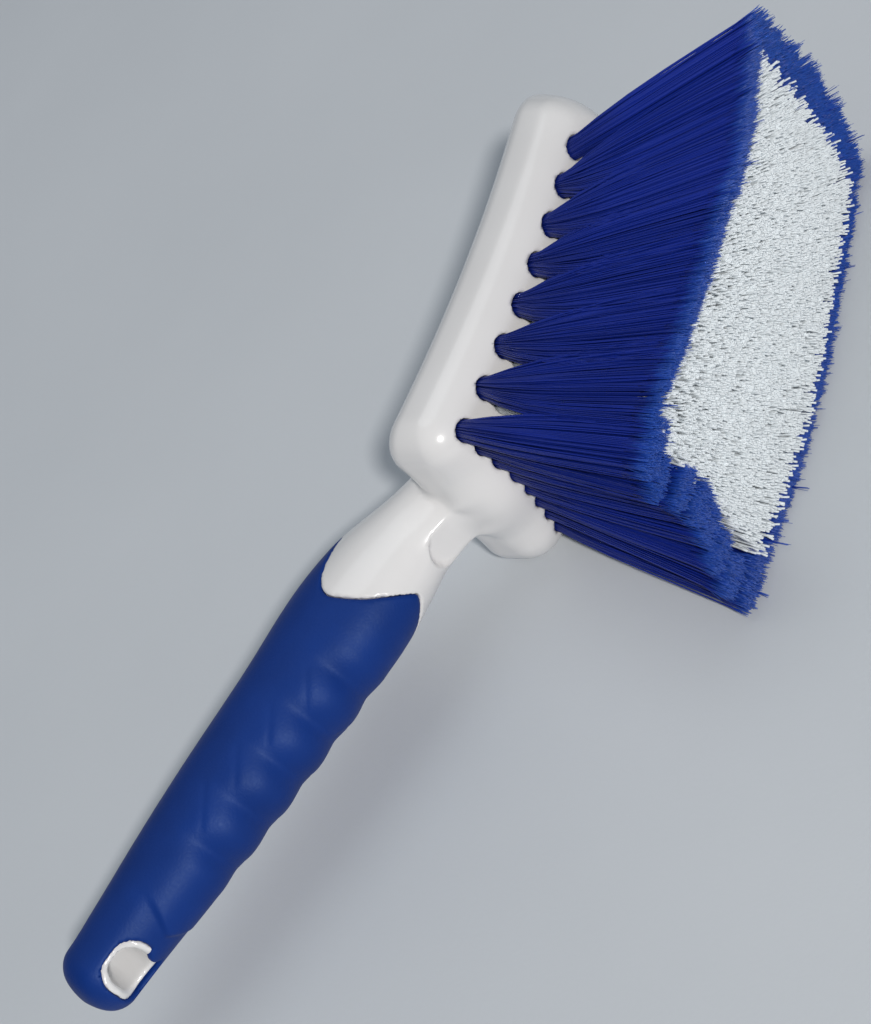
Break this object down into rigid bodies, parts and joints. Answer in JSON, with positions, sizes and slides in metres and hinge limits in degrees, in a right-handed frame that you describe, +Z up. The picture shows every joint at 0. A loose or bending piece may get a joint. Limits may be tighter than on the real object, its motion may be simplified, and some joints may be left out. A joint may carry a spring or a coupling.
{
  "type": "wheel brush",
  "caption": "Hand-held wheel cleaning brush: curved white head and neck, flared blue and white bristle tufts, blue soft grip with finger waves and a hang hole.",
  "frame": {"origin": "middle of the footprint, on the surface the brush lies on", "axes": "+X from the handle towards the toe of the head, +Z up as the brush lies on its side, so the bristles point to -Y"},
  "size_m": [0.26, 0.1458, 0.0601],
  "materials": {
    "white_moulding": "glossy white moulded plastic",
    "blue_grip": "soft satin overmould with a fine leathery grain",
    "blue_bristle": "fine flagged filaments with a soft sheen",
    "white_bristle": "crimped translucent white filaments"
  },
  "bodies": {
    "root": {"brush_body": "white_moulding", "core_end": "white_moulding", "handle_grip": "blue_grip", "blue_tuft_heel_1": "blue_bristle", "blue_tuft_heel_2": "blue_bristle", "blue_tuft_heel_3": "blue_bristle", "blue_tuft_heel_4": "blue_bristle", "blue_tuft_heel_5": "blue_bristle", "blue_tuft_heel_6": "blue_bristle", "blue_tuft_heel_7": "blue_bristle", "blue_tuft_heel_8": "blue_bristle", "blue_tuft_lower_1": "blue_bristle", "blue_tuft_lower_2": "blue_bristle", "blue_tuft_lower_3": "blue_bristle", "blue_tuft_lower_4": "blue_bristle", "blue_tuft_lower_5": "blue_bristle", "blue_tuft_lower_6": "blue_bristle", "blue_tuft_upper_1": "blue_bristle", "blue_tuft_upper_2": "blue_bristle", "blue_tuft_upper_3": "blue_bristle", "blue_tuft_upper_4": "blue_bristle", "blue_tuft_upper_5": "blue_bristle", "blue_tuft_upper_6": "blue_bristle", "blue_tuft_toe_1": "blue_bristle", "blue_tuft_toe_2": "blue_bristle", "blue_tuft_toe_3": "blue_bristle", "blue_tuft_toe_4": "blue_bristle", "blue_tuft_toe_5": "blue_bristle", "blue_tuft_toe_6": "blue_bristle", "blue_tuft_toe_7": "blue_bristle", "blue_tuft_toe_8": "blue_bristle", "white_tuft_row_1": "white_bristle", "white_tuft_row_2": "white_bristle", "white_tuft_row_3": "white_bristle", "white_tuft_row_4": "white_bristle", "white_tuft_row_5": "white_bristle", "white_tuft_row_6": "white_bristle"}
  },
  "joints": []
}
